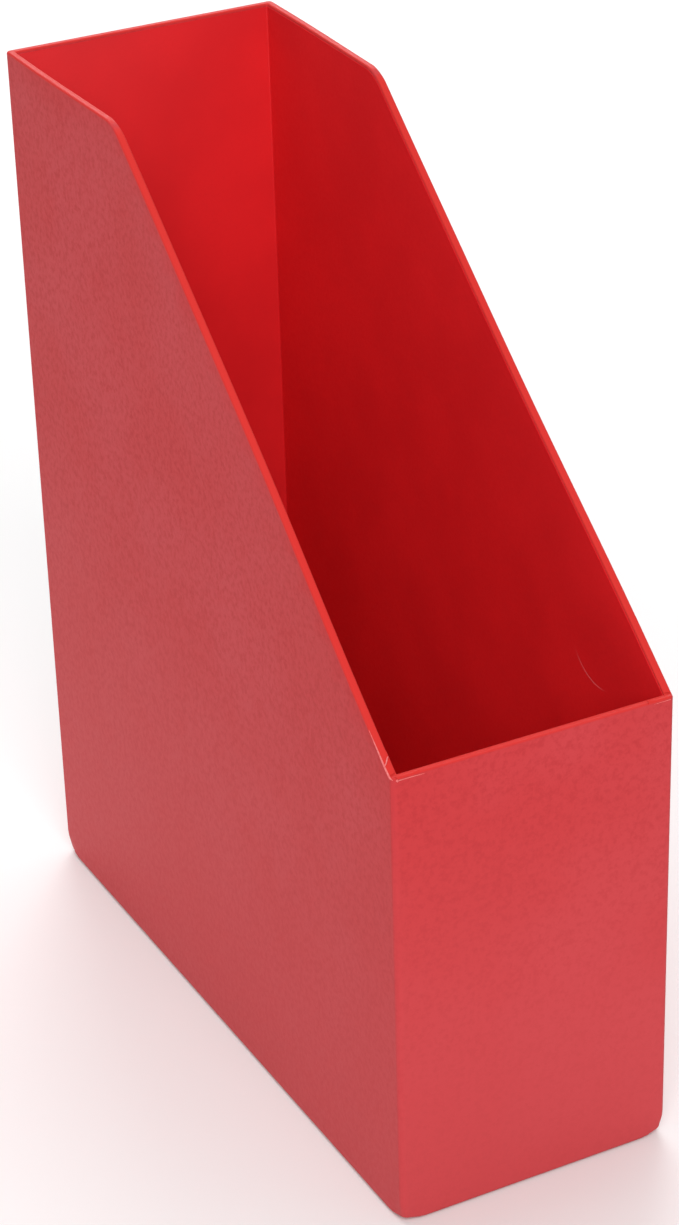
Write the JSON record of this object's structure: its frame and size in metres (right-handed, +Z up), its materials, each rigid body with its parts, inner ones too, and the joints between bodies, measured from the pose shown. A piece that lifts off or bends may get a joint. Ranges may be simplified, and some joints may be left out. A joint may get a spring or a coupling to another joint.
{
  "type": "magazine file",
  "caption": "Open-topped upright desk file with a tall back, sloped sides and a low front, in board with a grained red cover and a smooth red lining.",
  "frame": {"origin": "middle of the face it stands on", "axes": "+Z up, +Y to the tall back, -Y to the low front, X across the width"},
  "size_m": [0.098, 0.26, 0.31],
  "materials": {
    "greyboard": "raw pressed greyboard",
    "gummed_paper": "matt brown gummed paper",
    "grained_cover": "fine-grained imitation leather, satin",
    "smooth_lining": "smooth coated lining paper, satin"
  },
  "bodies": {
    "root": {"base_board": "greyboard", "back_board": "greyboard", "front_board": "greyboard", "left_side_board": "greyboard", "right_side_board": "greyboard", "corner_stay_back_left": "gummed_paper", "corner_stay_back_right": "gummed_paper", "corner_stay_front_left": "gummed_paper", "corner_stay_front_right": "gummed_paper", "base_stay_back": "gummed_paper", "base_stay_front": "gummed_paper", "base_stay_left": "gummed_paper", "base_stay_right": "gummed_paper", "side_and_back_cover": "grained_cover", "front_cover": "grained_cover", "base_cover": "grained_cover", "back_lining": "smooth_lining", "front_lining": "smooth_lining", "left_lining": "smooth_lining", "right_lining": "smooth_lining", "base_lining": "smooth_lining"}
  },
  "joints": []
}
